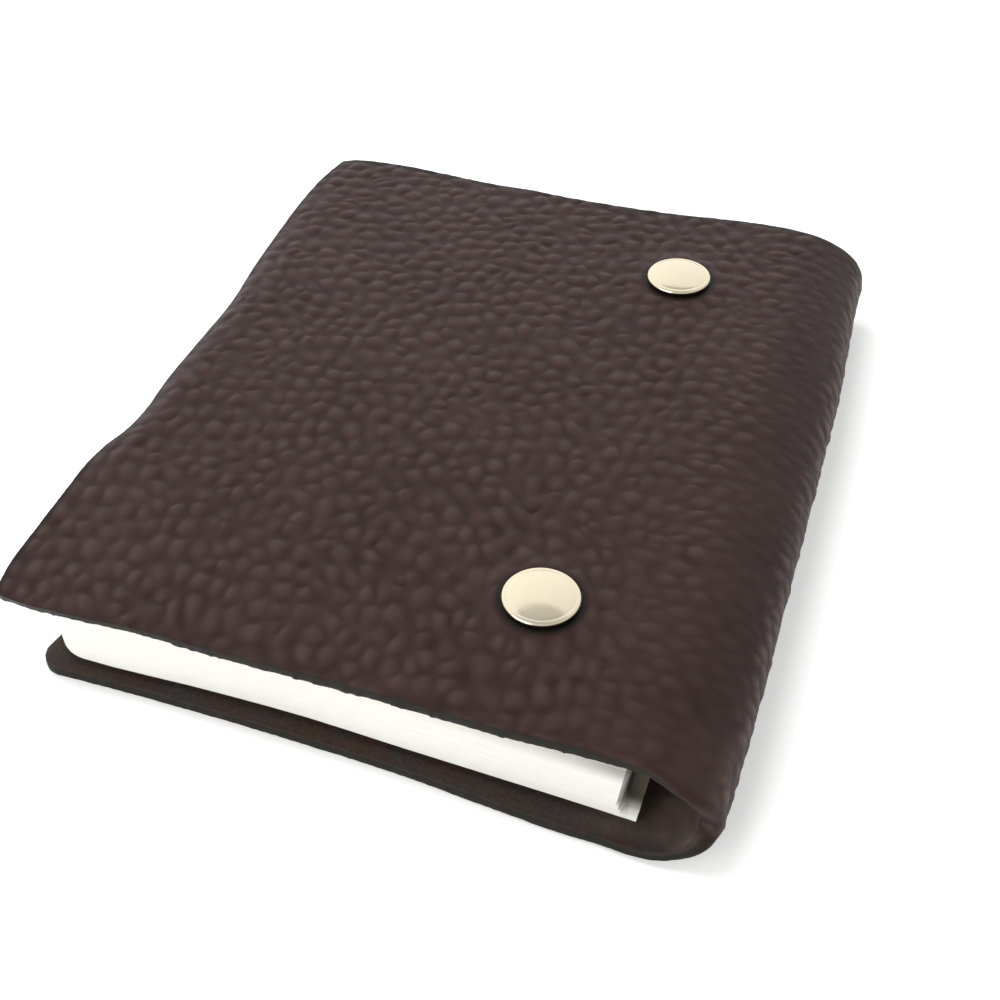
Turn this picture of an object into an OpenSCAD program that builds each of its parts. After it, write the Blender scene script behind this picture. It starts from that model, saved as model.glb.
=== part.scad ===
// Leather notebook: one wrap of thick leather around a block of loose leaves,
// all held together near the spine by two capped binding posts.
// Millimetres. +X runs from the fore-edge to the spine, +Y from tail to head, +Z up.
// Z = 0 is the underside, and the origin is the middle of the closed book's footprint.

/* [Leaves] */
// Width of a leaf, from its fore-edge to its edge at the spine
leaf_width = 92.6; // [84:0.1:105]
// Height of a leaf, from tail to head
leaf_height = 128; // [110:1:150]
// Radius of the two corners at the fore-edge
leaf_corner_r = 6.5; // [2:0.5:12]
// Thickness of one bundle of leaves
bundle_t = 1.3; // [1.1:0.05:1.6]

/* [Leather wrap] */
// Thickness of the leather
leather_t = 2; // [1.6:0.1:2.6]
// How far the front panel reaches past the leaves at the fore-edge
front_overhang = 4.2; // [3:0.1:8]
// How far the back panel reaches past the leaves at the fore-edge
back_overhang = 0.6; // [0.2:0.1:5]
// How far the wrap reaches past the leaves at head and tail
end_margin = 2; // [0.5:0.1:6]
// Corner radius of the front panel
front_corner_r = 1; // [0.5:0.25:5]
// Corner radius of the back panel
back_corner_r = 3; // [0.5:0.25:6]

/* [Spine] */
// Clear depth of the hollow between the leaves and the inside of the spine
spine_hollow = 10.2; // [9:0.2:16]
// Distance over which the wrap curves, measured in from the outside of the spine
spine_depth = 12; // [11:0.1:14]

/* [Binding posts] */
// Distance from the leaves' edge at the spine to the post's axis
post_inset = 20.3; // [15:0.1:24]
// Distance from the leaves' head or tail to the nearer post's axis
post_end_inset = 21; // [16:0.5:36]
// Diameter of the domed cap
cap_d = 11.5; // [9:0.1:14]
// Height of the cap at its middle, above the underside of its rim
cap_h = 1.6; // [1.1:0.1:2.4]
// Radius of the cap's rolled rim
cap_rim_r = 0.4; // [0.2:0.05:0.5]
// Gap between the leather and the cap's rim, where only the collar reaches down
cap_lift = 0.5; // [0.2:0.05:0.8]
// Diameter of the collar that carries the cap on the leather
collar_d = 8; // [6.5:0.1:9]
// Outside diameter of the post's barrel
barrel_d = 5; // [4.4:0.1:6]
// Diameter of the screw's shank
screw_d = 3; // [2.4:0.1:3.4]
// Diameter of the screw's flat head
screw_head_d = 10; // [8:0.1:12]
// Thickness of the screw's head, which lies flush in the underside
screw_head_t = 0.9; // [0.7:0.1:1.2]
// Length of the screw's shank inside the barrel
screw_reach = 8; // [5:0.5:9]
// Take-up left between the foot of the barrel and the screw's head
barrel_gap = 0.6; // [0.3:0.1:1]
// Width of the screwdriver slot
slot_w = 1.2; // [0.8:0.1:1.6]
// Depth of the screwdriver slot
slot_depth = 0.45; // [0.3:0.05:0.55]

/* [Fits] */
// Clearance all round a barrel, shank or screw head in its hole
hole_clearance = 0.15; // [0.05:0.01:0.3]
// Leather left between the cap's rim and the line where a panel flexes
flex_margin = 2.75; // [2.5:0.05:5]
// Distance from a panel's flex line to that of the leaves beside it
first_leaf_step = 4; // [3.6:0.1:6]
// Distance from one bundle's flex line to the next one's
leaf_step = 1.8; // [1.5:0.1:2.4]

/* [Hidden] */
$fn = 96;
// Bundles of leaves: the upper half turns with the front panel, the lower half with the back one
bundle_count = 10;
// Outside sizes of the closed book
block_t = bundle_count * bundle_t;
cover_t = block_t + 2 * leather_t;
cover_w = front_overhang + leaf_width + spine_hollow + leather_t;
cover_h = leaf_height + 2 * end_margin;
// Places along X
front_x = -cover_w / 2;
spine_x = cover_w / 2;
leaf_x0 = front_x + front_overhang;
leaf_x1 = leaf_x0 + leaf_width;
back_x = leaf_x0 - back_overhang;
post_x = leaf_x1 - post_inset;
flex_x = post_x - max(cap_d, screw_head_d) / 2 - flex_margin;
// The curve of the spine: a shoulder arc above and below runs smoothly into the nose arc.
// The arcs meet where they lean 3 across to 4 up, which fixes both radii.
spine_bow = (spine_depth - cover_t / 2) / 2;
shoulder_r = cover_t / 2 + 4 * spine_bow;
nose_r = cover_t / 2 - spine_bow;
shoulder_x = spine_x - spine_depth;
nose_x = spine_x - nose_r;
post_spacing = leaf_height - 2 * post_end_inset;
// The cap's dome springs from the top of its rolled rim
dome_edge = cap_d / 2 - cap_rim_r;
dome_rise = cap_h - 2 * cap_rim_r;
dome_r = (pow(dome_edge, 2) + pow(dome_rise, 2)) / (2 * dome_rise);
barrel_foot = screw_head_t + barrel_gap;
// A hair's breadth by which a cutter runs past the face that it opens
cut = 0.5;
leather_colour = [0.27, 0.20, 0.18];
paper_colour = [0.97, 0.96, 0.92];
metal_colour = [0.86, 0.80, 0.66];

// Top face of a bundle, counted from 1 at the top
function bundle_top(k) = cover_t - leather_t - (k - 1) * bundle_t;

// Line where a bundle flexes: the further from its panel, the nearer the fore-edge
function bundle_flex_x(k) =
    flex_x - first_leaf_step - (min(k, bundle_count + 1 - k) - 1) * leaf_step;

// Plan of a sheet with two round corners at the fore-edge and square ones at the other end
module fore_edge_sheet(x0, x1, height, corner_r) {
    translate([x0 + corner_r, -height / 2])
        square([x1 - x0 - corner_r, height]);
    translate([x0, corner_r - height / 2])
        square([corner_r, height - 2 * corner_r]);
    for (side = [-1, 1])
        translate([x0 + corner_r, side * (height / 2 - corner_r)])
            circle(corner_r);
}

// The same cutter at both posts
module at_posts() {
    for (side = [-1, 1])
        translate([post_x, side * post_spacing / 2, 0])
            children();
}

// Section of leather bent round a centre
module bent_leather(outer_r) {
    difference() {
        circle(outer_r);
        circle(outer_r - leather_t);
    }
}

// Upper half of the wrap's section up to the nose: flat strip, then shoulder
module half_section() {
    translate([flex_x, cover_t / 2 - leather_t])
        square([shoulder_x - flex_x, leather_t]);
    translate([shoulder_x, cover_t / 2 - shoulder_r])
        intersection() {
            bent_leather(shoulder_r);
            polygon([[0, 0], [1.5 * shoulder_r, 2 * shoulder_r], [0, 2 * shoulder_r]]);
        }
}

// Section of the wrap round the spine, seen from the tail, about half its thickness
module wrap_section() {
    half_section();
    mirror([0, 1])
        half_section();
    translate([nose_x, 0])
        intersection() {
            bent_leather(nose_r);
            polygon([[0, 0], [1.5 * nose_r, -2 * nose_r], [1.5 * nose_r, 2 * nose_r]]);
        }
}

module front_cover_panel() {
    color(leather_colour)
        translate([0, 0, cover_t - leather_t])
            linear_extrude(leather_t)
                fore_edge_sheet(front_x, flex_x, cover_h, front_corner_r);
}

module back_cover_panel() {
    color(leather_colour)
        linear_extrude(leather_t)
            fore_edge_sheet(back_x, flex_x, cover_h, back_corner_r);
}

// The fixed part of the wrap: clamped strips above and below, joined by the curve of the spine
module spine_wrap() {
    color(leather_colour)
        difference() {
            translate([0, 0, cover_t / 2])
                rotate([90, 0, 0])
                    linear_extrude(cover_h, center = true)
                        wrap_section();
            at_posts()
                translate([0, 0, -cut])
                    cylinder(h = cover_t + 2 * cut, d = barrel_d + 2 * hole_clearance);
            at_posts()
                translate([0, 0, -cut])
                    cylinder(h = screw_head_t + cut, d = screw_head_d + 2 * hole_clearance);
        }
}

// Half section of the cap: a low dome with a rolled rim
module cap_section() {
    intersection() {
        translate([0, cap_h - dome_r])
            circle(dome_r);
        square([dome_edge, cap_h]);
    }
    translate([dome_edge, cap_rim_r])
        circle(cap_rim_r);
}

// Domed cap, collar and hollow barrel in one piece
module binding_post() {
    color(metal_colour)
        difference() {
            union() {
                translate([0, 0, cover_t + cap_lift])
                    rotate_extrude()
                        cap_section();
                translate([0, 0, cover_t])
                    cylinder(h = cap_lift, d = collar_d);
                translate([0, 0, barrel_foot])
                    cylinder(h = cover_t - barrel_foot, d = barrel_d);
            }
            translate([0, 0, barrel_foot - cut])
                cylinder(h = screw_reach + 2 * cut, d = screw_d + 2 * hole_clearance);
        }
}

// Flat slotted screw that goes up into the barrel
module binding_screw() {
    color(metal_colour)
        difference() {
            union() {
                cylinder(h = screw_head_t, d = screw_head_d);
                cylinder(h = barrel_foot + screw_reach, d = screw_d);
            }
            translate([-screw_head_d, -slot_w / 2, -cut])
                cube([2 * screw_head_d, slot_w, slot_depth + cut]);
        }
}

module head_end_post() {
    translate([post_x, post_spacing / 2, 0])
        binding_post();
}

module tail_end_post() {
    translate([post_x, -post_spacing / 2, 0])
        binding_post();
}

module head_end_screw() {
    translate([post_x, post_spacing / 2, 0])
        binding_screw();
}

module tail_end_screw() {
    translate([post_x, -post_spacing / 2, 0])
        binding_screw();
}

// The free part of a bundle, which turns like a page
module leaves(k) {
    color(paper_colour)
        translate([0, 0, bundle_top(k) - bundle_t])
            linear_extrude(bundle_t)
                fore_edge_sheet(leaf_x0, bundle_flex_x(k), leaf_height, leaf_corner_r);
}

// The punched margin of the same bundle, clamped by the posts
module margin(k) {
    color(paper_colour)
        translate([0, 0, bundle_top(k) - bundle_t])
            linear_extrude(bundle_t)
                difference() {
                    translate([bundle_flex_x(k), -leaf_height / 2])
                        square([leaf_x1 - bundle_flex_x(k), leaf_height]);
                    at_posts()
                        circle(d = barrel_d + 2 * hole_clearance);
                }
}

front_cover_panel();
spine_wrap();
back_cover_panel();
head_end_post();
tail_end_post();
head_end_screw();
tail_end_screw();
leaves(1);  // leaves_01
leaves(2);  // leaves_02
leaves(3);  // leaves_03
leaves(4);  // leaves_04
leaves(5);  // leaves_05
leaves(6);  // leaves_06
leaves(7);  // leaves_07
leaves(8);  // leaves_08
leaves(9);  // leaves_09
leaves(10);  // leaves_10
margin(1);  // margin_01
margin(2);  // margin_02
margin(3);  // margin_03
margin(4);  // margin_04
margin(5);  // margin_05
margin(6);  // margin_06
margin(7);  // margin_07
margin(8);  // margin_08
margin(9);  // margin_09
margin(10);  // margin_10
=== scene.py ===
import math

import bpy
import numpy as np
from mathutils import Matrix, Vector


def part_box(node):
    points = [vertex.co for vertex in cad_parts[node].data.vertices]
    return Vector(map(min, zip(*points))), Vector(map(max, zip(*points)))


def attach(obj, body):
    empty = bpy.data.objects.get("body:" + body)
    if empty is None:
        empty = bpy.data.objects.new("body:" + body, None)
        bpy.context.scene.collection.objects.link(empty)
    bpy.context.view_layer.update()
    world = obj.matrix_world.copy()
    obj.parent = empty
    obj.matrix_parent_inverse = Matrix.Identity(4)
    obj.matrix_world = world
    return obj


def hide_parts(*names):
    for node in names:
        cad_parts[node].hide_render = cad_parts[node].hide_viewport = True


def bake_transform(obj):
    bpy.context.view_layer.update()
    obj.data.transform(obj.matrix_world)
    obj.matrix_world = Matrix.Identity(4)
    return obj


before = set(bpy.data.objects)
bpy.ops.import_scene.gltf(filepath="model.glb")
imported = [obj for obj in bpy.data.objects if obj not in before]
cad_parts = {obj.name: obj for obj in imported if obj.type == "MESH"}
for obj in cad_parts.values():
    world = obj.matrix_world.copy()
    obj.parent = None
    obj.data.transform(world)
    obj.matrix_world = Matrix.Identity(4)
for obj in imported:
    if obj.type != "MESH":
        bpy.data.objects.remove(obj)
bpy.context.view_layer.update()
print("frame loaded")

scene = bpy.context.scene
scene.view_settings.view_transform = "Standard"

# Sizes in millimetres, read off the CAD nodes
size = {}
size["frontX"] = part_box("front_cover_panel")[0].x * 1000
size["flexX"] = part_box("front_cover_panel")[1].x * 1000
size["backX"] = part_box("back_cover_panel")[0].x * 1000
size["top"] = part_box("front_cover_panel")[1].z * 1000
size["leather"] = size["top"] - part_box("front_cover_panel")[0].z * 1000
size["halfHeight"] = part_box("front_cover_panel")[1].y * 1000
size["spineX"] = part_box("spine_wrap")[1].x * 1000
size["leafX0"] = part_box("leaves_01")[0].x * 1000
size["leafX1"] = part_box("margin_01")[1].x * 1000
size["leafHalf"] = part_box("leaves_01")[1].y * 1000
# the posts stand at the middle of the screws
size["postX"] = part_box("head_end_screw")[0].x * 500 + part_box("head_end_screw")[1].x * 500
size["postY"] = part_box("head_end_screw")[0].y * 500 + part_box("head_end_screw")[1].y * 500
size["capTop"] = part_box("head_end_post")[1].z * 1000

noiseSpan = (0.3, 0.7)  # where most of a noise node's values lie


# Smoothstep of x between two edges
def ease(x, low, high):
    t = np.clip((x - low) / (high - low), 0, 1)
    return t * t * (3 - 2 * t)


# Amount that sets in over one stretch of x and dies out over a later one
def stretch(x, amount, start, end):
    return amount * ease(x, *start) * (1 - ease(x, *end))


# How far a rounded corner stands back at a distance from its edge: its radius less the circle's height
def roundOff(distance, radius):
    gone = np.clip(radius - distance, 0, radius)
    return radius - np.sqrt(np.maximum(radius ** 2 - gone ** 2, 0))


# Smooth curve through (position, value) knots: between two of them a cubic with mean slopes at its ends
def curve(knots, x):
    at, value = np.array(knots, float).T
    slope = np.gradient(value, at)
    i = np.clip(np.searchsorted(at, x) - 1, 0, len(at) - 2)
    span = at[i + 1] - at[i]
    t = np.clip((x - at[i]) / span, 0, 1)
    heights = value[i] * (1 + 2 * t) * (1 - t) ** 2 + value[i + 1] * t * t * (3 - 2 * t)
    return heights + span * t * (1 - t) * (slope[i] * (1 - t) - slope[i + 1] * t)


# Repeatable number from 0 to 1 for a pair of whole numbers: the fraction of a large sine
def chance(i, j, seed):
    s = np.sin(i * 127.1 + j * 311.7 + seed * 74.7) * 43758.5453
    return s - np.floor(s)


# Smooth noise from -1 to 1: chance at the corners of a unit grid, eased between them
def softNoise(u, v, seed):
    i, j = np.floor(u), np.floor(v)
    a, b = u - i, v - j
    a, b = a * a * (3 - 2 * a), b * b * (3 - 2 * b)
    low = chance(i, j, seed) * (1 - a) + chance(i + 1, j, seed) * a
    high = chance(i, j + 1, seed) * (1 - a) + chance(i + 1, j + 1, seed) * a
    return (low * (1 - b) + high * b) * 2 - 1


# Corner numbers of the quads of a grid of rows and columns, closed round the columns
def bandQuads(rows, columns):
    i = np.arange(rows - 1)[:, None] * columns
    j = np.arange(columns)[None, :]
    k = (j + 1) % columns
    return np.stack([i + j, i + columns + j, i + columns + k, i + k], -1).reshape(-1, 4)


# Mesh from points in millimetres, arrays of faces with equal corner counts, and point attributes. Edges
# are sharp where the faces meet at more than an angle in degrees.
def addMesh(name, points, faces, material, attributes=None, sharp=None, flip=False):
    corners = np.concatenate([np.ravel(part) for part in faces]).astype(np.int32)
    counts = np.concatenate([np.full(len(part), np.shape(part)[1]) for part in faces])
    starts = np.concatenate([[0], np.cumsum(counts)[:-1]]).astype(np.int32)
    mesh = bpy.data.meshes.new(name)
    mesh.vertices.add(len(points))
    mesh.vertices.foreach_set("co", (np.asarray(points) * 0.001).astype(np.float32).ravel())
    mesh.loops.add(len(corners))
    mesh.loops.foreach_set("vertex_index", corners)
    mesh.polygons.add(len(starts))
    mesh.polygons.foreach_set("loop_start", starts)
    mesh.update(calc_edges=True)
    if flip:
        mesh.flip_normals()
    mesh.polygons.foreach_set("use_smooth", np.ones(len(starts), bool))
    for key, value in (attributes or {}).items():
        kind, field = ("FLOAT", "value") if value.ndim == 1 else ("FLOAT_VECTOR", "vector")
        layer = mesh.attributes.new(key, kind, "POINT")
        layer.data.foreach_set(field, value.astype(np.float32).ravel())
    if sharp is not None:
        mesh.set_sharp_from_angle(angle=math.radians(sharp))
    mesh.validate()
    mesh.materials.append(material)
    made = bpy.data.objects.new(name, mesh)
    scene.collection.objects.link(made)
    return made


# Node material with its nodes, links and principled shader
def newMaterial(name):
    material = bpy.data.materials.new(name)
    material.use_nodes = True
    nodes, links = material.node_tree.nodes, material.node_tree.links
    return material, nodes, links, nodes["Principled BSDF"]


# Colour from the first to the second by a factor, each of the three a socket to link or a constant
def mixColour(nodes, links, factor, first, second):
    mix = nodes.new("ShaderNodeMix")
    mix.data_type = "RGBA"
    for socket, value in ((mix.inputs[0], factor), (mix.inputs[6], first), (mix.inputs[7], second)):
        if isinstance(value, bpy.types.NodeSocket):
            links.new(value, socket)
        else:
            socket.default_value = value
    return mix.outputs[2]


# Point attribute of the mesh, read by its name
def attributeNode(nodes, name, output="Fac"):
    node = nodes.new("ShaderNodeAttribute")
    node.attribute_name = name
    return node.outputs[output]


# Noise from 0 to 1 with so many cells to a unit of the vector, octaves of detail and share of each octave
def noiseNode(nodes, links, vector, scale, detail, roughness=0.5):
    node = nodes.new("ShaderNodeTexNoise")
    node.inputs["Scale"].default_value = scale
    node.inputs["Detail"].default_value = detail
    node.inputs["Roughness"].default_value = roughness
    links.new(vector, node.inputs["Vector"])
    return node.outputs["Fac"]


# Value carried from one range to another in proportion, held at its ends
def rangeNode(nodes, links, value, fromLow, fromHigh, toLow, toHigh):
    node = nodes.new("ShaderNodeMapRange")
    ends = {"From Min": fromLow, "From Max": fromHigh, "To Min": toLow, "To Max": toHigh}
    for key, number in ends.items():
        node.inputs[key].default_value = number
    links.new(value, node.inputs["Value"])
    return node.outputs["Result"]


# Leather wrap, in millimetres. Places along the sheet are x on the panels and go on round the spine to
# its nose, and a pair of them is the stretch where something sets in or dies out. Each half's edges are
# lists of (place, how far the edge is moved there).
leather = {
    # colours and finish
    # valley and crown: partly the grain's own tone, partly painted shade in the creases and painted sheen
    # on the crowns
    "valley": (0.0180, 0.0064, 0.0050, 1),
    "crown": (0.0575, 0.0322, 0.0280, 1),
    # painted sheen and glints round the nose, on the burr, the wrinkles and the rim
    "paintedSheen": (0.165, 0.102, 0.088, 1),
    # painted shade round the caps; also dye with painted shade along the fore and head edges
    "darkShade": (0.011, 0.0070, 0.0058, 1),
    "cutEdge": (0.0180, 0.0158, 0.0120, 1),
    "flesh": (0.054, 0.0305, 0.0225, 1),
    "fleshGrey": (0.039, 0.0360, 0.0330, 1),
    # painted light on the flesh side in the spine's hollow
    "hollow": (0.160, 0.1150, 0.0950, 1),
    "roughness": (0.37, 0.51),
    "specular": 0.15,
    "bump": (0.5, 0.00006),  # strength, height in metres
    "broad": (60, 2),  # noises: cells per metre, detail, roughness
    "patches": (190, 3, 0.6),
    "fine": (1500, 3, 0.6),

    # grain
    "cell": (3.2, 3.0),  # along, across
    "spineCell": (4.0, 2.8),
    "jitter": 0.8,  # of a cell
    "crease": 0.12,  # share of a dome taken by the crease
    "tall": (0.65, 0.45),  # lowest dome, and what chance adds
    "wave": (3.6, 0.5, 48),  # length, spread of lengths, how many
    "mix": (0.65, 0.11),  # shares of domes and swell
    "wander": (11, 0.8),  # length and reach of the rows' wandering
    "lean": 17,  # turn of the rows in degrees
    "narrow": (0.96, 0.001),  # scale along, and what a millimetre towards the tail adds
    "lengthen": (0.775, 0.0009),  # scale across, and its bow
    "contrast": (0.93, 0.002, 0.19),  # at the middle, per millimetre, and at the tail end
    "tailEnd": (20, 58),  # distance from the middle towards the tail
    "spineGrain": (28, 42),
    "spineSwell": 0.8,
    "base": (0.2, 0.05),  # height in the creases, and what the spine adds
    "pebble": 0.49,
    "crownShare": 0.35,  # of the pebbles, above the CAD surface
    "crownUnder": (46, 54),
    "flatEdge": (0.45, (0.2, 2)),  # share of the grain left at an edge, distance from it
    "flank": (0.68, (39, 45), (51, 55)),  # smoothing of the spine's flank: amount, from, to
    "tailFlank": (0.4, (33, 41), (47, 53)),
    "tailFlankY": (18, 42),
    "flankGrain": 0.14,
    "flankRelief": (0.45, (46, 51)),  # lowering of the relief, and its return at the nose
    "noseRelief": (0.15, (53, 57)),
    "spineDepth": 12.0,

    # edges
    "firstRows": (0, 0.03, 0.1, 0.2, 0.35),  # from the fore-edge
    "rowsFrom": 0.7,
    "edgeTurn": (30, 60, 90),  # steps of a rolled edge, in degrees and in shares of its face
    "edgeFace": (0.25, 0.5, 0.75),
    "edgeRoll": 0.35,
    "spineRoll": 0.9,
    "bend": (34, 47),
    "cutRough": (0.09, 2.1, 3),  # height, waves per millimetre along and through
    "skive": 0.7,
    "skiveEnd": (-48, 8),
    "fray": (0.22, 1.3),  # height, waves per millimetre
    "frayEnd": (30, 40),
    "foreFade": 30,
    "droopFrom": 0.1,  # clear of the leaves
    "droopPower": 1.7,
    "ridge": 0.14,  # burr along the tail edge
    "ridgeLine": (0.4, 0.25, 0.35),  # distance from the edge, wander, width
    "ridgeWaves": (0.3, 0.6),
    "ridgeStretch": ((-30, 10), (40, 47)),
    "ridgeGaps": (-0.6, 0.7),

    # spine's open tail end
    "tightest": (49, 57),
    "openEnd": (0.01, 0.08),  # share of the sheet's width
    "bulge": 1.4,
    "endRoll": 0.45,
    "wrinkle": (0.06, 0.8, 0.5),  # height, waves per millimetre along and through
    "wrinkleFrom": (45, 53),
    "waved": (42, 56),
    "wavedUnder": 53,
    "noseWave": [(-66, -0.45), (-60, -0.2), (-50, 0.1), (-20, 0.3), (10, 0.35), (30, 0.3), (42, -0.2),
                 (52, -0.6), (60, -0.8), (66, -0.6)],

    # round the posts, as distances from their axes
    "capGrain": (0.45, (6, 8)),  # height of the smooth grain, and where it ends
    "capRaise": (0.3, (6.8, 10.5)),
    # a dark ring of painted shade round each cap
    "capShade": (6.2, 7.2),
    "screwGrain": (5.0, 7.5),
    "screwSink": (5.1, 7.0),

    # flesh, cut edge, painted light in the hollow, painted sheen, and dye with painted shade at the edges
    "fleshFrom": (0.25, 0.02),  # distance from the flesh side
    "cutFade": 0.8,
    # painted light on the flesh in the spine's hollow and at the back's fore end
    "hollowFrom": (30, 44),
    "hollowInset": (1, 4),  # distance from the tail edge
    "hollowEnd": (3, (46, 52)),  # how much nearer it comes to that edge round the spine
    "hollowUpper": (0.6, (49, 56)),
    "paleFore": (0.22, (-50, -34)),
    # painted sheen on the nose's crowns, painted glints on the burr and the wrinkles
    "noseSheen": (51.5, 56.5),
    "noseSheenUnder": 54,
    "noseSheenCrowns": (0.8, (0.15, 0.95)),  # amount, pebble heights
    "ridgeGlint": 0.18,
    "wrinkleGlint": (0.28, (-0.1, 0.6)),
    # painted sheen along the rim of the tail end
    "rim": ((0.08, (44, 49)), (0.15, (51, 54))),
    "rimEnd": 55,
    "rimY": (52, 60),
    # edges darker by dye and by painted shade of the rolled edge
    "dyeAndShade": 0.8,
    "edgeDyeAndShade": (0.4, 1.0),  # distance from the fore-edge, and twice as far from the head edge
    "dyeAndShadeEnd": (44, 50),

    "front": {
        "cornerR": 1.0, "columns": (6, 51), "step": 0.44, "cutEnd": (43, 51),
        "fore": [(-66, 0.3), (-62, -0.6), (-54, -1.1), (-42, -1.5), (-35, -1.8), (-31, -1.65), (-26, -0.75),
                 (-21, -0.4), (-12, -0.9), (3, -0.7), (13, -0.75), (26, -1.9), (38, -2.45), (50, -2.65),
                 (61, -1.7), (66, -0.6)],
        "head": [(-54.5, 0.5), (-49, 1.4), (-42, 1.8), (-33, 1.2), (-21, 0.3), (-15, 0.4), (-7, -0.1),
                 (15, 0.1), (31, 1.6), (40, 1.6), (46, 0.6), (52, 0), (59, -1.1)],
        "tail": [(-54.5, -1.0), (-50, -1.5), (-40, -1.2), (-30, -0.6), (-21, -0.7), (-5, -0.4), (9, -0.3),
                 (22, -0.6), (37, -0.3), (43, -0.6), (48, -1.7), (53, -1.6), (56, -0.9), (57.7, -0.55),
                 (59.5, -0.45)],
        "droop": [(-66, 0), (-47, 0), (-41, 0), (-36, 0.3), (-31, 0.95), (-26, 1.35), (-20, 1.5),
                  (-10, 1.55), (0, 1.45), (10, 1.6), (20, 1.6), (35, 1.35), (50, 0.95), (61, 0.55),
                  (66, 0.4)],
    },
    "back": {
        "cornerR": 4.2, "columns": (4, 54), "step": 0.62, "cutEnd": (50, 57),
        "fore": [(-66, -0.4), (-62, 0.2), (-57, 1.1), (-40, 1.0), (0, 0.4), (66, 0.3)],
        "head": [(-54.5, 0), (36, 0.2), (59, -1.1)],
        "tail": [(-54.5, -0.6), (-46, -0.25), (-8, -0.05), (9, -0.6), (24, -1.8), (33, -2.45), (38, -2.55),
                 (42, -2.95), (47, -3.0), (50, -2.5), (52.5, -2.1), (54.5, -1.4), (56.3, -0.8),
                 (57.7, -0.55), (59.5, -0.45)],
    },
}


# Leather shader: dark valleys and paler crowns by the pebble attribute, partly the grain's own tone and
# partly painted shade in the creases and painted sheen on the crowns; below 0 the pebble attribute gives
# painted shade round the caps and dye with painted shade along the edges; painted sheen; dyed cut edges;
# and a patchy flesh side with painted light in the hollow of the spine
def leatherMaterial():
    material, nodes, links, shader = newMaterial("leather")
    place = attributeNode(nodes, "sheetPos", "Vector")
    pebble = attributeNode(nodes, "pebble")
    broad = noiseNode(nodes, links, place, *leather["broad"])
    patches = noiseNode(nodes, links, place, *leather["patches"])
    fine = noiseNode(nodes, links, place, *leather["fine"])
    # pebble tone: partly the grain's own, partly painted shade in the creases and painted sheen on the
    # crowns
    tint = rangeNode(nodes, links, pebble, 0.05, 0.95, 0, 1)
    grain = mixColour(nodes, links, tint, leather["valley"], leather["crown"])
    shade = rangeNode(nodes, links, broad, *noiseSpan, 0, 0.3)
    grain = mixColour(nodes, links, shade, grain, leather["crown"])
    # painted sheen and glints
    grain = mixColour(nodes, links, attributeNode(nodes, "paintedSheen"), grain, leather["paintedSheen"])
    # painted shade round the caps, and dye with painted shade along the edges, where the pebble attribute
    # is below 0
    paintedShade = rangeNode(nodes, links, pebble, -0.5, 0, 1, 0)
    grain = mixColour(nodes, links, paintedShade, grain, leather["darkShade"])
    grey = rangeNode(nodes, links, patches, 0.42, 0.6, 0, 1)
    flesh = mixColour(nodes, links, grey, leather["flesh"], leather["fleshGrey"])
    specks = rangeNode(nodes, links, fine, *noiseSpan, 0, 0.6)
    flesh = mixColour(nodes, links, specks, flesh, leather["valley"])
    # painted light: paler, blotchy flesh in the spine's hollow
    blotches = rangeNode(nodes, links, patches, 0.35, 0.65, 0.15, 0.6)
    hollow = mixColour(nodes, links, blotches, leather["hollow"], flesh)
    flesh = mixColour(nodes, links, attributeNode(nodes, "hollowSide"), flesh, hollow)
    colour = mixColour(nodes, links, attributeNode(nodes, "fleshSide"), grain, flesh)
    colour = mixColour(nodes, links, attributeNode(nodes, "cutEdge"), colour, leather["cutEdge"])
    links.new(colour, shader.inputs["Base Color"])
    rough = rangeNode(nodes, links, fine, *noiseSpan, *leather["roughness"])
    links.new(rough, shader.inputs["Roughness"])
    shader.inputs["Specular IOR Level"].default_value = leather["specular"]
    bump = nodes.new("ShaderNodeBump")
    bump.inputs["Strength"].default_value = leather["bump"][0]
    bump.inputs["Distance"].default_value = leather["bump"][1]
    links.new(fine, bump.inputs["Height"])
    links.new(bump.outputs["Normal"], shader.inputs["Normal"])
    return material


# Domes of pebbles from 0 to about 1. Each cell of a staggered unit grid holds one centre off its middle.
# A dome is an eased 1 - nearest / second nearest distance, so it falls to 0 halfway to the next centre.
def domes(u, v, seed):
    iu, iv = np.floor(u), np.floor(v)
    near, following, tall = np.full(u.shape, 9.0), np.full(u.shape, 9.0), np.zeros(u.shape)
    for dv in range(-2, 3):
        for du in range(-2, 3):
            cu, cv = iu + du, iv + dv
            x = u - cu - 0.5 - 0.5 * np.mod(cv, 2) - leather["jitter"] * (chance(cu, cv, seed) - 0.5)
            y = v - cv - 0.5 - leather["jitter"] * (chance(cu, cv, seed + 1) - 0.5)
            d = np.hypot(x, y)
            closer = d < near
            following = np.where(closer, near, np.minimum(following, d))
            tall = np.where(closer, chance(cu, cv, seed + 2), tall)
            near = np.where(closer, d, near)
    lowest, added = leather["tall"]
    return ease(1 - near / following, leather["crease"], 1) * (lowest + added * tall)


# Uneven swell: cosine waves of about one length that run in all directions, with a spread of 1
def swell(u, v):
    length, spread, count = leather["wave"]
    total = 0
    for k in range(count):
        angle, phase = 2 * math.pi * chance(k, 1, 1), 2 * math.pi * chance(k, 3, 1)
        wave = length * (1 + spread * (chance(k, 2, 1) - 0.5))
        total = total + np.cos(2 * math.pi / wave * (u * math.cos(angle) + v * math.sin(angle)) + phase)
    return total / math.sqrt(count / 2)


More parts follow.
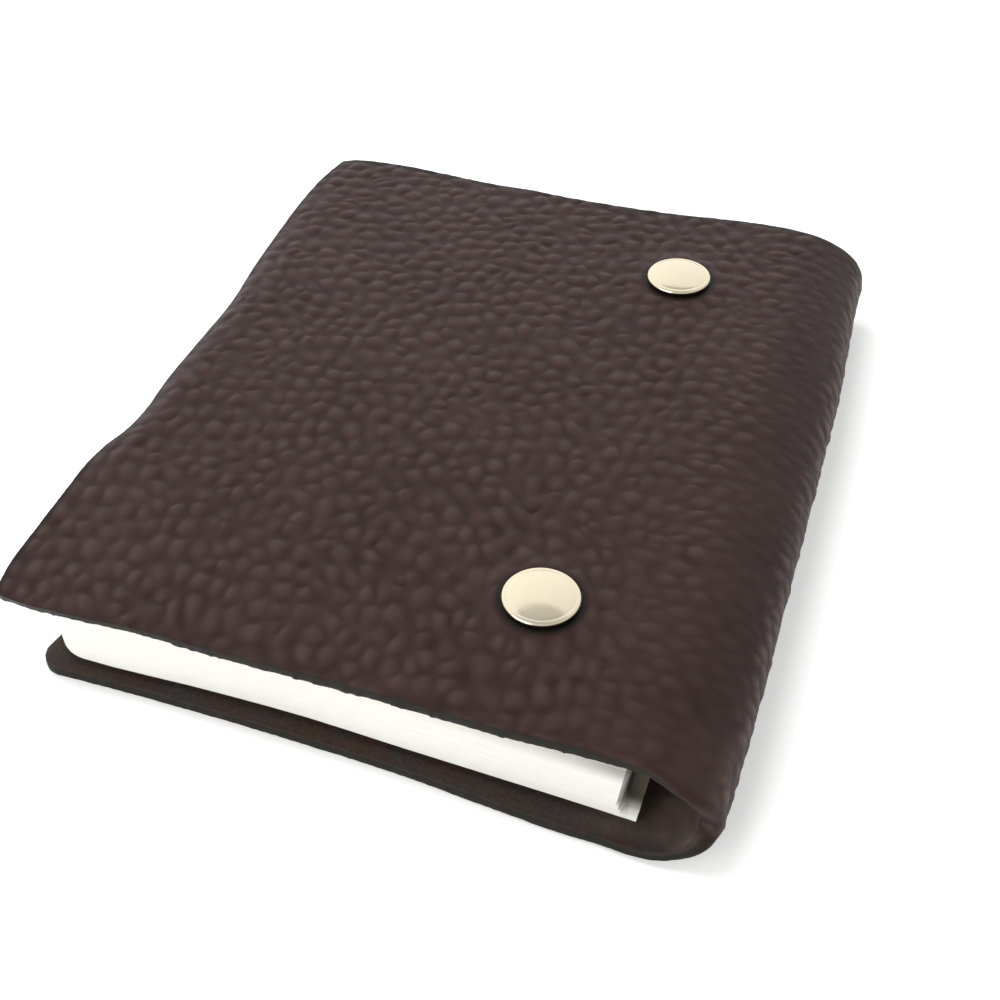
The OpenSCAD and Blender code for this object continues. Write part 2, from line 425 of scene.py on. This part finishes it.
# Pebble height from about 0 in the creases to 1 on the crowns: domes and a little swell. On the panels
# the rows of cells are turned by the lean, wander, and are scaled so that the cells narrow and lengthen
# towards the tail, and their contrast goes by place. Round the spine they fade into drawn-out cells.
def pebbleHeight(along, across, nose):
    length, reach = leather["wander"]
    wanderU = softNoise(along / length, across / length, 1)
    wanderV = softNoise(along / length, across / length, 2)
    domeShare, swellShare = leather["mix"]
    lean = math.radians(leather["lean"])
    scale, change = leather["narrow"]
    u = (along * math.cos(lean) + across * math.sin(lean) + reach * wanderU) * (scale - change * across)
    v = across * math.cos(lean) - along * math.sin(lean)
    scale, bow = leather["lengthen"]
    v = scale * v + bow * v ** 2 + reach * wanderV
    flat = domeShare * domes(u / leather["cell"][0], v / leather["cell"][1], 3) + swellShare * swell(u, v)
    level, slope, added = leather["contrast"]
    flat = flat * (level + slope * across + added * ease(-across, *leather["tailEnd"]))
    u, v = along + wanderU, across + reach * wanderV
    drawn = domeShare * domes(u / leather["spineCell"][0], v / leather["spineCell"][1], 13)
    drawn = drawn + swellShare * swell(u * leather["spineSwell"], v)
    share = ease(nose - np.abs(along - nose), *leather["spineGrain"])
    base, spineBase = leather["base"]
    return base + flat * (1 - share) + (spineBase + drawn) * share


# Outside of the wrap from the fore-edge to the nose of the spine, and its outward direction: straight,
# then a shoulder arc, then a nose arc that meets it where both lean 3 across to 4 up. The nose's place
# comes last.
def wrapPath(along):
    half = size["top"] / 2
    depth = leather["spineDepth"]
    bow = (depth - half) / 2
    shoulder, nose = half + 4 * bow, half - bow
    lean = math.atan2(3, 4)
    start = size["spineX"] - depth
    first = np.clip((along - start) / shoulder, 0, lean)
    second = np.clip((along - start - shoulder * lean) / nose, 0, math.pi / 2 - lean)
    turn = first + second
    x = np.minimum(along, start) + shoulder * np.sin(first) + nose * (np.sin(turn) - np.sin(first))
    z = size["top"] + shoulder * (np.cos(first) - 1) + nose * (np.cos(turn) - np.cos(first))
    end = start + shoulder * lean + nose * (math.pi / 2 - lean)
    return x, z, np.sin(turn), np.cos(turn), end


# Closed section across the sheet: up the grain side, over the rolled head edge, down the flesh side and
# back over the rolled tail edge. Each step has its share of the way from tail to head, its inset in edge
# rolls, and its depth in rolls and in thicknesses. An edge is a quarter circle, a straight face and
# another quarter circle.
def sheetSection(ratio, innerCount):
    outer = np.linspace(0, 1, ratio * (innerCount - 1) + 1)
    inner = np.linspace(1, 0, innerCount)[1:-1]
    turn, face = np.radians(leather["edgeTurn"]), np.array(leather["edgeFace"])
    edgeIn = np.concatenate([1 - np.sin(turn), 0 * face, 1 - np.cos(turn)])
    edgeDown = np.concatenate([1 - np.cos(turn), 1 - 2 * face, np.sin(turn) - 1])
    edgeThick = np.concatenate([0 * turn, face, 0 * turn + 1])
    share = np.concatenate([outer, 0 * edgeIn + 1, inner, 0 * edgeIn])
    inset = np.concatenate([1 - 2 * outer, -edgeIn, 1 - 2 * inner, edgeIn[::-1]])
    down = np.concatenate([0 * outer, edgeDown, 0 * inner, edgeDown[::-1]])
    through = np.concatenate([0 * outer, edgeThick, 0 * inner + 1, edgeThick[::-1]])
    return share, inset, down, through


# Faces of the sheet: quads between the rows, and at its first and last row faces that join each
# flesh-side step to its several grain-side steps, with one face for each rolled edge
def sheetFaces(rows, columns, ratio, innerCount):
    outerCount = ratio * (innerCount - 1) + 1
    edgeCount = 2 * len(leather["edgeTurn"]) + len(leather["edgeFace"])
    k = np.arange(innerCount - 1)[:, None]
    innerAt = outerCount + edgeCount + innerCount - 2 - k
    closing = np.concatenate([ratio * k + np.arange(ratio + 1), innerAt - 1, innerAt], 1)
    edgeAt = outerCount - 1 + np.arange(edgeCount + 1)
    ends = np.stack([edgeAt, (edgeAt + edgeCount + innerCount - 1) % columns])
    last = (rows - 1) * columns
    return [bandQuads(rows, columns), closing, ends, closing[:, ::-1] + last, ends[:, ::-1] + last]


# Relief of the grain side. Pebbles fade towards the edges and round the posts, and on the upper half
# along the spine's flank too. The lift is their height about the CAD surface, with the leather raised
# round the caps, sunk under the screw heads and raised in a broken burr along the upper tail edge.
def grainRelief(sheet, upper):
    a, y, tail, nose = sheet["a"], sheet["y"], sheet["tail"], sheet["nose"]
    toEdge = np.minimum(np.minimum(y - tail, sheet["head"] - y), a - sheet["foreX"])
    left, zone = leather["flatEdge"]
    pebble = pebbleHeight(sheet["wound"], y, nose) * (left + (1 - left) * ease(toEdge, *zone))
    radius = np.hypot(sheet["shifted"] - size["postX"], np.abs(y) - size["postY"])
    if upper:
        tailFlank = stretch(a, *leather["tailFlank"]) * ease(-y, *leather["tailFlankY"])
        smooth = np.maximum(stretch(a, *leather["flank"]), tailFlank)
        level, clear = leather["capGrain"]
        pebble = pebble * (1 - smooth) + leather["flankGrain"] * smooth
        pebble = level + (pebble - level) * ease(radius, *clear)
        press = -leather["capRaise"][0] * (1 - ease(radius, *leather["capRaise"][1]))
        # painted shade: a dark ring round each cap
        darkShade = 1 - ease(radius, *leather["capShade"])
        line, reach, width = leather["ridgeLine"]
        slow, quick = leather["ridgeWaves"]
        wander = softNoise(a * slow, 0 * a, 31)
        burr = np.exp(-((y - tail - line - reach * wander) / width) ** 2)
        broken = ease(softNoise(a * quick + 2 * wander, 0 * a, 32), *leather["ridgeGaps"])
        ridge = stretch(a, burr, *leather["ridgeStretch"]) * broken
        crownShare = leather["crownShare"]
    else:
        pebble = pebble * ease(radius, *leather["screwGrain"])
        press = 1 - ease(radius, *leather["screwSink"])
        darkShade, ridge = 0 * a, 0 * a
        crownShare = leather["crownShare"] * ease(a, *leather["crownUnder"])
    lowered, lowerAt = leather["flankRelief"]
    raised, raiseAt = leather["noseRelief"]
    height = leather["pebble"] * (1 - lowered * ease(a, *lowerAt) + raised * ease(a, *raiseAt))
    lift = height * (pebble - 1 + crownShare) - press + leather["ridge"] * ridge
    return {"pebble": pebble, "darkShade": darkShade, "ridge": ridge, "lift": lift}


# What the shader reads at each point: pebble height less painted shade round the caps and less the dye and
# painted shade along the edges, the shares of flesh side, cut edge, painted light in the hollow of the
# spine and painted sheen, and the place on the sheet in metres. The painted sheen is the most of what the
# crowns round the nose, the burr, the wrinkles and the rim of the tail end bring. The dye and painted shade
# reach a little onto the grain, except at the tail.
def sheetPaint(sheet, relief, cutEnd, upper):
    a, y, depth, swollen, nose = (sheet[key] for key in ("a", "y", "depth", "swollen", "nose"))
    far, close = leather["fleshFrom"]
    isFlesh = ease(depth, swollen - far, swollen - close)
    isCut = (1 - sheet["grain"]) * (1 - isFlesh) * (1 - leather["cutFade"] * ease(a, *cutEnd))
    # painted sheen on the crowns round the nose
    amount, crowns = leather["noseSheenCrowns"]
    noseSheen = ease(a, *leather["noseSheen"]) if upper else ease(a, leather["noseSheenUnder"], nose)
    paintedSheen = amount * noseSheen * ease(relief["pebble"], *crowns)
    # painted glint along the burr
    paintedSheen = np.maximum(paintedSheen, leather["ridgeGlint"] * relief["ridge"])
    # painted glint on the wrinkles
    amount, heights = leather["wrinkleGlint"]
    paintedSheen = np.maximum(paintedSheen, amount * ease(sheet["wrinkle"], *heights))
    if upper:
        # painted light on the flesh inside the nose
        amount, start = leather["hollowUpper"]
        paintedLightShare = amount * ease(a, *start)
        # painted sheen along the rim of the tail end
        rim = sum(amount * ease(a, *start) for amount, start in leather["rim"])
        rim = rim * (1 - ease(a, leather["rimEnd"], nose)) * ease(-y, *leather["rimY"])
        paintedSheen = np.maximum(paintedSheen, rim)
    else:
        # painted light on the flesh in the hollow, and near the back's fore-edge
        nearer, start = leather["hollowEnd"]
        inset = ease(y - sheet["tail"] + nearer * ease(a, *start), *leather["hollowInset"])
        amount, end = leather["paleFore"]
        paintedLightShare = np.maximum(ease(a, *leather["hollowFrom"]) * inset, amount * (1 - ease(a, *end)))
    # fore and head edges darker by dye and by painted shade of the rolled edge
    toDarkEdge = np.minimum(0.5 * (sheet["head"] - y), a - sheet["foreX"])
    edgeDyeAndShade = leather["dyeAndShade"] * (1 - ease(toDarkEdge, *leather["edgeDyeAndShade"])) * (1 - ease(a, *leather["dyeAndShadeEnd"]))
    shares = {"pebble": relief["pebble"] - relief["darkShade"] - edgeDyeAndShade, "fleshSide": isFlesh, "cutEdge": isCut,
              "hollowSide": paintedLightShare, "paintedSheen": paintedSheen}
    attributes = {key: value.ravel() for key, value in shares.items()}
    attributes["sheetPos"] = np.stack([a, y, depth], -1).reshape(-1, 3) * 0.001
    return attributes


# Half of the wrap as a closed band: the section across the sheet, repeated in rows from the fore-edge to
# the nose of the spine. Its points lie on the wrap's path, pushed out by relief and in by depth.
def leatherHalf(name, foreX, edges, upper):
    nose = wrapPath(np.zeros(1))[4]
    rows = np.linspace(leather["rowsFrom"], nose - foreX, int((nose - foreX) / edges["step"]))
    along = foreX + np.concatenate([leather["firstRows"], rows])
    share, inset, down, through = sheetSection(*edges["columns"])
    a, s = np.meshgrid(along, share, indexing="ij")
    wound = a if upper else 2 * nose - a  # place along the whole wrap, counted on from the front
    roll = leather["edgeRoll"] + (leather["spineRoll"] - leather["edgeRoll"]) * ease(a, *leather["bend"])
    # the wall bulges inwards where it is bent tightest, by the open tail end
    tight = ease(a, *leather["tightest"]) * (1 - ease(s, *leather["openEnd"]))
    swollen, roll = size["leather"] + leather["bulge"] * tight, roll + leather["endRoll"] * tight
    depth = roll * down + swollen * through
    corner = roundOff(a - foreX, edges["cornerR"])
    tail = -size["halfHeight"] + curve(edges["tail"], a) + corner
    head = size["halfHeight"] + curve(edges["head"], a) - corner
    y = tail + (head - tail) * s + roll * inset
    # frayed fibres and short wrinkles on the tail edge, which leans back under the front panel
    atTail = s == 0
    height, waves = leather["fray"]
    frayed = height * np.maximum(softNoise(a * waves, 0 * a, 21), 0) * through * atTail
    y = y - frayed * (1 - ease(a, *leather["frayEnd"]))
    height, waves, wavesIn = leather["wrinkle"]
    wrinkle = softNoise(wound * waves, depth * wavesIn, 8) * atTail * (1 - np.abs(inset))
    wrinkle = wrinkle * ease(a, *leather["wrinkleFrom"])
    y = y - height * wrinkle
    if upper:
        y = y + leather["skive"] * (1 - ease(a, *leather["skiveEnd"])) * (1 - s) * depth / swollen
    foreWave = curve(edges["fore"], y)
    shifted = a + foreWave * (1 - ease(a, foreX, foreX + leather["foreFade"]))
    lip = roundOff(a - foreX, leather["edgeRoll"])
    depth = lip + depth * (swollen - 2 * lip) / swollen
    grain = np.clip(1 - depth / roll, 0, 1)
    sheet = {"a": a, "y": y, "depth": depth, "tail": tail, "head": head, "foreX": foreX, "nose": nose,
             "wound": wound, "shifted": shifted, "swollen": swollen, "grain": grain, "wrinkle": wrinkle}
    relief = grainRelief(sheet, upper)
    height, waves, wavesIn = leather["cutRough"]
    rough = height * softNoise(a * waves, depth * wavesIn + y * waves, 6) * (1 - grain)
    out = relief["lift"] * grain - depth + rough * (depth < swollen - 0.01)
    waved = ease(a, *leather["waved"]) if upper else ease(a, leather["wavedUnder"], nose)
    x, z, nx, nz, _ = wrapPath(shifted)
    x, z = x + nx * out + curve(leather["noseWave"], y) * waved, z + nz * out
    if upper:
        # the front edge droops where it stands out over the leaves
        clear = size["leafX0"] - leather["droopFrom"]
        over = np.clip((clear - shifted) / (clear - foreX - foreWave), 0, 1)
        z = z - curve(edges["droop"], y) * over ** leather["droopPower"]
    else:
        z = size["top"] - z
    points = np.stack([x, y, z], -1).reshape(-1, 3)
    faces = sheetFaces(*a.shape, *edges["columns"])
    attributes = sheetPaint(sheet, relief, edges["cutEnd"], upper)
    return addMesh(name, points, faces, leatherLook, attributes, sharp=55, flip=not upper)


leatherLook = leatherMaterial()
frontLeather = leatherHalf("leather_front", size["frontX"], leather["front"], True)
backLeather = leatherHalf("leather_back", size["backX"], leather["back"], False)
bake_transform(frontLeather)
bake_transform(backLeather)
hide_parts("front_cover_panel", "spine_wrap")
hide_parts("back_cover_panel")
print("leather made")


# Bundles of leaves, in millimetres. Heights are above the floor.
paper = {
    "colour": (0.955, 0.95, 0.895, 1),
    "line": (0.915, 0.905, 0.84, 1),
    # painted shadow in the notch and under the front panel
    "paintedShade": (0.080, 0.072, 0.054, 1),
    "roughness": 0.85,
    "specular": 0.15,
    "sheets": (0.03, 0.03, 9.0),  # noise cells per millimetre, most of them through the sheets
    "cornerR": 6.5,
    "cornerSteps": 13,
    "bendReach": 3.5,  # finely divided on both sides of the bend line
    "notchReach": 4.4,  # and at the spine's end
    "groups": 6,
    "uneven": 0.06,
    "slant": (0.85, 1.0),  # shift of the spine's end at half height, and what it grows to the top
    "notch": (2.7, 3.2),  # width, depth
    "notchSides": (0.4, 0.7),
    "notchFoot": (2.5, 6),  # heights over which it widens
    "notchRise": (2.7, 6.0),  # heights over which it deepens
    "notchUneven": 1.5,
    "toe": 1.0,
    "toeRise": (0.1, 0.9),
    "under": (0.5, (2, 36), (9.4, 11.8)),  # set back under the front panel: depth, from x, from height
    # painted shadow under the front panel: least, what it grows by, and over x
    "shadowShare": (0.3, 0.3, (28, 40)),
    "shadowReach": 6,
    "tailWave": [(-50, 0.2), (-41, 0), (-25, 0.6), (-8, 0.8), (8, 0.2), (23, -0.3), (37, -0.8),
                 (43, -1.1)],
}


# Paper shader: cream with faint lines along the sheets from noise, darkened where a shadow is painted in
# the notch and under the front panel
def paperMaterial():
    material, nodes, links, shader = newMaterial("paper")
    lines = noiseNode(nodes, links, attributeNode(nodes, "sheetPos", "Vector"), 1, 2)
    amount = rangeNode(nodes, links, lines, 0.35, 0.75, 0, 1)
    sheets = mixColour(nodes, links, amount, paper["colour"], paper["line"])
    colour = mixColour(nodes, links, attributeNode(nodes, "paintedShade"), sheets, paper["paintedShade"])
    links.new(colour, shader.inputs["Base Color"])
    shader.inputs["Roughness"].default_value = paper["roughness"]
    shader.inputs["Specular IOR Level"].default_value = paper["specular"]
    return material


# One bundle: outlines of groups of sheets stacked upwards, each a little in or out of line, closed by
# strips from tail to head. An outline has round corners at the fore-edge, and at the spine square ones
# with a notch at the tail.
def leafBundle(k):
    low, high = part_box("leaves_%02d" % k)[0].z * 1000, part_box("leaves_%02d" % k)[1].z * 1000
    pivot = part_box("leaves_%02d" % k)[1].x * 1000
    x0, x1, r = size["leafX0"], size["leafX1"], paper["cornerR"]
    arc = np.linspace(0, math.pi / 2, paper["cornerSteps"])
    near, end = paper["bendReach"], x1 - paper["notchReach"]
    x = np.concatenate([x0 + r * (1 - np.cos(arc)),
                        np.linspace(x0 + r + 5, pivot - near - 0.5, 8),
                        np.linspace(pivot - near, pivot + near, 29),
                        np.linspace(pivot + near + 2.5, end - 0.6, 6),
                        np.linspace(end, x1, 12)])
    corner = np.concatenate([r * (1 - np.sin(arc)), np.zeros(len(x) - len(arc))])
    groups = paper["groups"]
    inset = np.repeat(paper["uneven"] * chance(np.arange(groups), k, 7), 2)[:, None]
    height = np.repeat(np.linspace(low, high, groups + 1), 2)[1:-1]
    z = height[:, None]
    middle = size["top"] / 2
    slant = paper["slant"][0] + paper["slant"][1] * (z - middle) / middle
    share = (x - x0) / (x1 - x0)
    rowX = x + inset * (1 - 2 * share) + slant * share
    width, deep = paper["notch"]
    width = width + paper["notchUneven"] * inset - (1 - ease(z, *paper["notchFoot"]))
    before, after = paper["notchSides"]
    notch = ease(x, x1 - width - before, x1 - width + after) * ease(z, *paper["notchRise"])
    setBack, fromX, fromZ = paper["under"]
    under = ease(x, *fromX) * ease(z, *fromZ)
    toe = paper["toe"] * (1 - ease(z - size["leather"], *paper["toeRise"]))
    tail = -size["leafHalf"] + corner + inset + curve(paper["tailWave"], x) + deep * notch + toe
    tail = tail + setBack * under * (1 - notch)
    head = size["leafHalf"] - corner - inset
    level = np.repeat(z, 2 * len(x), 1)
    outline = np.concatenate([rowX, rowX[:, ::-1]], 1)
    side = np.concatenate([head + 0 * rowX, (tail + 0 * rowX)[:, ::-1]], 1)
    points = np.stack([outline, side, level], -1).reshape(-1, 3)
    rows, columns = level.shape
    i = np.arange(len(x) - 1)
    strip = np.stack([columns - 1 - i, columns - 2 - i, i + 1, i], -1)
    walls = bandQuads(rows, columns)[:, ::-1]
    quads = np.concatenate([walls, strip + (rows - 1) * columns, strip[:, ::-1]])
    # painted shadow in the notch and under the front panel's edge, fading towards the head
    least, added, fromX = paper["shadowShare"]
    shadowShare = np.maximum(ease(notch, 0, 0.8), (least + added * ease(x, *fromX)) * under)
    paintedShade = np.concatenate([0 * shadowShare, shadowShare[:, ::-1]], 1)
    paintedShade = paintedShade * (1 - ease(side, -size["leafHalf"] + paper["shadowReach"], 0))
    attributes = {"sheetPos": points * np.array(paper["sheets"]), "paintedShade": paintedShade.ravel()}
    made = addMesh("leaves_bundle_%02d" % k, points, [quads], paperLook, attributes, sharp=30)
    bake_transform(made)
    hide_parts("leaves_%02d" % k, "margin_%02d" % k)


paperLook = paperMaterial()
for k in range(1, 11):
    leafBundle(k)
print("leaves made")


# Binding posts and screws, in millimetres
metal = {
    "colour": (0.78, 0.695, 0.53, 1),
    "roughness": (0.11, 0.23),
    "marks": (420, 3),  # noise: cells per metre, detail
    "sides": 96,
    "capR": 5.75,
    "rimR": 0.42,
    "rise": 1.6,
    "collarR": 4.0,
    "sunk": 0.4,
    "barrelR": 2.5,
    "crease": (0.05, 0.35, 0.2),  # depth, distance inside the rim, width
}


# Metal shader: pale gold plate whose roughness varies a little by noise
def metalMaterial():
    material, nodes, links, shader = newMaterial("metal")
    coordinates = nodes.new("ShaderNodeTexCoord")
    marks = noiseNode(nodes, links, coordinates.outputs["Object"], *metal["marks"])
    shader.inputs["Base Color"].default_value = metal["colour"]
    shader.inputs["Metallic"].default_value = 1.0
    rough = rangeNode(nodes, links, marks, *noiseSpan, *metal["roughness"])
    links.new(rough, shader.inputs["Roughness"])
    return material


# Post turned about its own axis: barrel, collar sunk a little into the leather, flat underside, rolled
# rim, then a dome that is part of a large circle, with a faint crease inside the rim
def bindingPost(name, node, y):
    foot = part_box(node)[0].z * 1000
    rim, edge = metal["rimR"], metal["capR"] - metal["rimR"]
    under, seat = size["capTop"] - metal["rise"], size["top"] - metal["sunk"]
    rise = metal["rise"] - 2 * rim
    dome = (edge ** 2 + rise ** 2) / (2 * rise)
    roll = np.radians(np.linspace(-90, 75, 12))
    reach = edge * (1 - np.concatenate([np.linspace(0.015, 0.15, 12), np.linspace(0.2, 0.999, 16)]))
    stem = [0.05, metal["barrelR"], metal["barrelR"], metal["collarR"], metal["collarR"]]
    radius = np.concatenate([stem, edge + rim * np.cos(roll), reach])
    deep, inside, width = metal["crease"]
    crease = deep * np.exp(-((edge - inside - reach) / width) ** 2)
    height = np.concatenate([[foot, foot, seat, seat, under], under + rim + rim * np.sin(roll),
                             size["capTop"] - dome + np.sqrt(dome ** 2 - reach ** 2) - crease])
    angle = np.linspace(0, 2 * math.pi, metal["sides"] + 1)[:-1]
    x, y = size["postX"] + radius[:, None] * np.cos(angle), y + radius[:, None] * np.sin(angle)
    points = np.stack([x, y, height[:, None] + 0 * angle], -1).reshape(-1, 3)
    rows, columns = len(radius), len(angle)
    ends = np.stack([np.arange(columns)[::-1], np.arange(columns) + (rows - 1) * columns])
    made = addMesh(name, points, [bandQuads(rows, columns)[:, ::-1], ends], metalLook, sharp=40)
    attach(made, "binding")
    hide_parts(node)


metalLook = metalMaterial()
bindingPost("post_head_end", "head_end_post", size["postY"])
bindingPost("post_tail_end", "tail_end_post", -size["postY"])
for node in ("head_end_screw", "tail_end_screw"):
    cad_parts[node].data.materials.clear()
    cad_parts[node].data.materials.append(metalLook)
print("posts made")


# Floor, light and surroundings. Only the camera sees the floor's glow, which brings it up to white.
studio = {
    "floor": (0.90, 0.90, 0.895, 1),
    "floorReach": 3000,  # millimetres
    "floorDrop": 0.05,
    "floorRoughness": 0.9,
    "floorSpecular": 0.1,
    "glow": 0.40,
    "sky": 0.59,
    "zenith": 0.6,
    "zenithFrom": (0.86, 0.89),
    "slope": 0.36,
    "brighter": (-0.8, 0.6, 0),  # direction of the brighter side
    "lamps": {  # power, width and place in metres, mirrored by the metal
        "key": (4.8, 0.6, (-0.34, 0.08, 0.90), False),
        "fill": (5.7, 0.9, (-0.48, -0.82, 0.30), True),
    },
}


# Share of rays that see the background itself: from the camera, mirrored or passed through
def seenDirectly(nodes, links):
    path = nodes.new("ShaderNodeLightPath")
    total = path.outputs["Is Camera Ray"]
    for name in ("Is Glossy Ray", "Is Transmission Ray"):
        either = nodes.new("ShaderNodeMath")
        either.operation = "MAXIMUM"
        links.new(total, either.inputs[0])
        links.new(path.outputs[name], either.inputs[1])
        total = either.outputs[0]
    return total


# Floor: a large square just below the object, matt, with a glow for camera rays alone
def makeFloor():
    corners = np.array([[-1, -1, 0], [1, -1, 0], [1, 1, 0], [-1, 1, 0]]) * studio["floorReach"]
    corners = corners - [0, 0, studio["floorDrop"]]
    look, nodes, links, shader = newMaterial("floor")
    shader.inputs["Base Color"].default_value = studio["floor"]
    shader.inputs["Roughness"].default_value = studio["floorRoughness"]
    shader.inputs["Specular IOR Level"].default_value = studio["floorSpecular"]
    shader.inputs["Emission Color"].default_value = (1, 1, 1, 1)
    seen = nodes.new("ShaderNodeLightPath").outputs["Is Camera Ray"]
    glow = rangeNode(nodes, links, seen, 0, 1, 0, studio["glow"])
    links.new(glow, shader.inputs["Emission Strength"])
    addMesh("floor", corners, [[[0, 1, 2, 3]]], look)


# White surroundings, dimmer overhead: the product of a level by kind of ray, a step at the zenith and a
# slope from side to side. Their light on the object is brighter from the left and the back.
def makeSky():
    world = bpy.data.worlds.new("studio")
    scene.world = world
    world.use_nodes = True
    nodes, links = world.node_tree.nodes, world.node_tree.links
    split = nodes.new("ShaderNodeSeparateXYZ")
    direction = nodes.new("ShaderNodeTexCoord").outputs["Generated"]
    links.new(direction, split.inputs[0])
    aside = nodes.new("ShaderNodeVectorMath")
    aside.operation = "DOT_PRODUCT"
    aside.inputs[1].default_value = studio["brighter"]
    links.new(direction, aside.inputs[0])
    height = rangeNode(nodes, links, split.outputs["Z"], *studio["zenithFrom"], 1, studio["zenith"])
    level = rangeNode(nodes, links, seenDirectly(nodes, links), 0, 1, studio["sky"], 1)
    slope = (1 - studio["slope"], 1 + studio["slope"])
    side = nodes.new("ShaderNodeMix")
    side.inputs["B"].default_value = 1
    links.new(nodes.new("ShaderNodeLightPath").outputs["Is Camera Ray"], side.inputs["Factor"])
    links.new(rangeNode(nodes, links, aside.outputs["Value"], -1, 1, *slope), side.inputs["A"])
    strength = level
    for factor in (height, side.outputs["Result"]):
        product = nodes.new("ShaderNodeMath")
        product.operation = "MULTIPLY"
        links.new(strength, product.inputs[0])
        links.new(factor, product.inputs[1])
        strength = product.outputs[0]
    nodes["Background"].inputs["Color"].default_value = (1, 1, 1, 1)
    links.new(strength, nodes["Background"].inputs["Strength"])


# Round area lamp of a power and width, turned to the origin
def makeLamp(name, power, width, place, mirrored):
    light = bpy.data.lights.new(name, "AREA")
    light.energy = power
    light.shape = "DISK"
    light.size = width
    lamp = bpy.data.objects.new(name, light)
    lamp.location = place
    lamp.rotation_euler = (-lamp.location).to_track_quat("-Z", "Y").to_euler()
    lamp.visible_glossy = mirrored
    scene.collection.objects.link(lamp)


makeFloor()
makeSky()
for name, settings in studio["lamps"].items():
    makeLamp(name, *settings)
print("stage made")

# Camera: place in mm, turns in degrees, focal length and principal point as shares of the picture's width
view = {
    "at": (60.11, -180.09, 166.18),
    "yaw": 21.77,
    "pitch": 41.90,
    "roll": -2.07,
    "focal": 1.4345,
    "centre": (0.4288, 0.4894),
    "sensor": 36,
    "clip": (0.005, 20),  # metres
}


# Camera with its axes turned by yaw about the vertical, tipped down by pitch, then rolled about its sight
def makeCamera():
    yaw, pitch, roll = (math.radians(view[key]) for key in ("yaw", "pitch", "roll"))
    right = np.array([math.cos(yaw), math.sin(yaw), 0])
    level = np.array([-math.sin(yaw), math.cos(yaw), 0])
    up = level * math.sin(pitch) + np.array([0, 0, math.cos(pitch)])
    ahead = level * math.cos(pitch) - np.array([0, 0, math.sin(pitch)])
    across = right * math.cos(roll) + up * math.sin(roll)
    upward = up * math.cos(roll) - right * math.sin(roll)
    data = bpy.data.cameras.new("camera")
    data.sensor_width = view["sensor"]
    data.lens = view["sensor"] * view["focal"]
    data.shift_x = 0.5 - view["centre"][0]
    data.shift_y = view["centre"][1] - 0.5
    data.clip_start, data.clip_end = view["clip"]
    camera = bpy.data.objects.new("camera", data)
    turned = Matrix(np.stack([across, upward, -ahead], 1).tolist()).to_4x4()
    turned.translation = [v * 0.001 for v in view["at"]]
    camera.matrix_world = turned
    scene.collection.objects.link(camera)
    scene.camera = camera


makeCamera()
print("scene ready")
